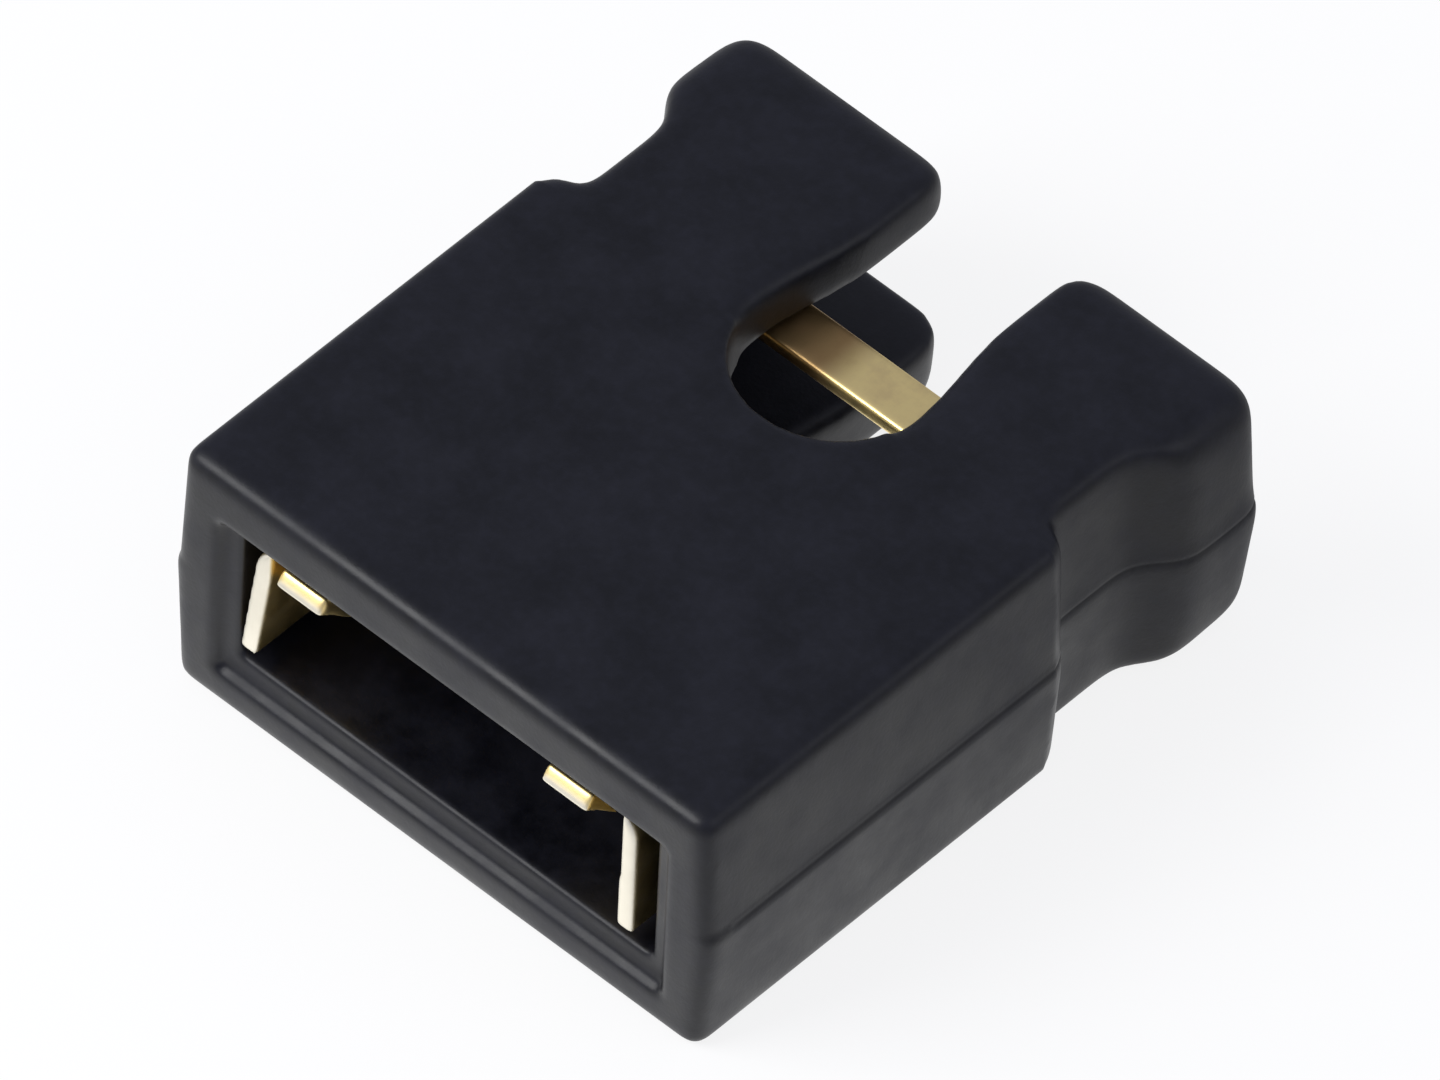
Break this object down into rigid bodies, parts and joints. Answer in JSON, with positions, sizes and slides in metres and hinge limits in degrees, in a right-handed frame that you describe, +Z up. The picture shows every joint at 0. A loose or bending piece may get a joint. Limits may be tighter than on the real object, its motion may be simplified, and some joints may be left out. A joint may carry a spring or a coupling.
{
  "type": "jumper shunt",
  "caption": "Small moulded housing, open at the mouth and between its ears, holding a folded sheet contact that joins neighbouring header pins.",
  "frame": {"origin": "middle of the outline on the wide face the part lies on", "axes": "+X across the two pins, +Y from the mouth to the ears, +Z up through the thickness"},
  "size_m": [0.0052, 0.0058, 0.0024],
  "materials": {
    "housing": "moulded black plastic with a fine satin surface",
    "contact": "thin gold plating over a copper alloy sheet"
  },
  "bodies": {
    "root": {"housing": "housing", "contact": "contact"}
  },
  "joints": []
}
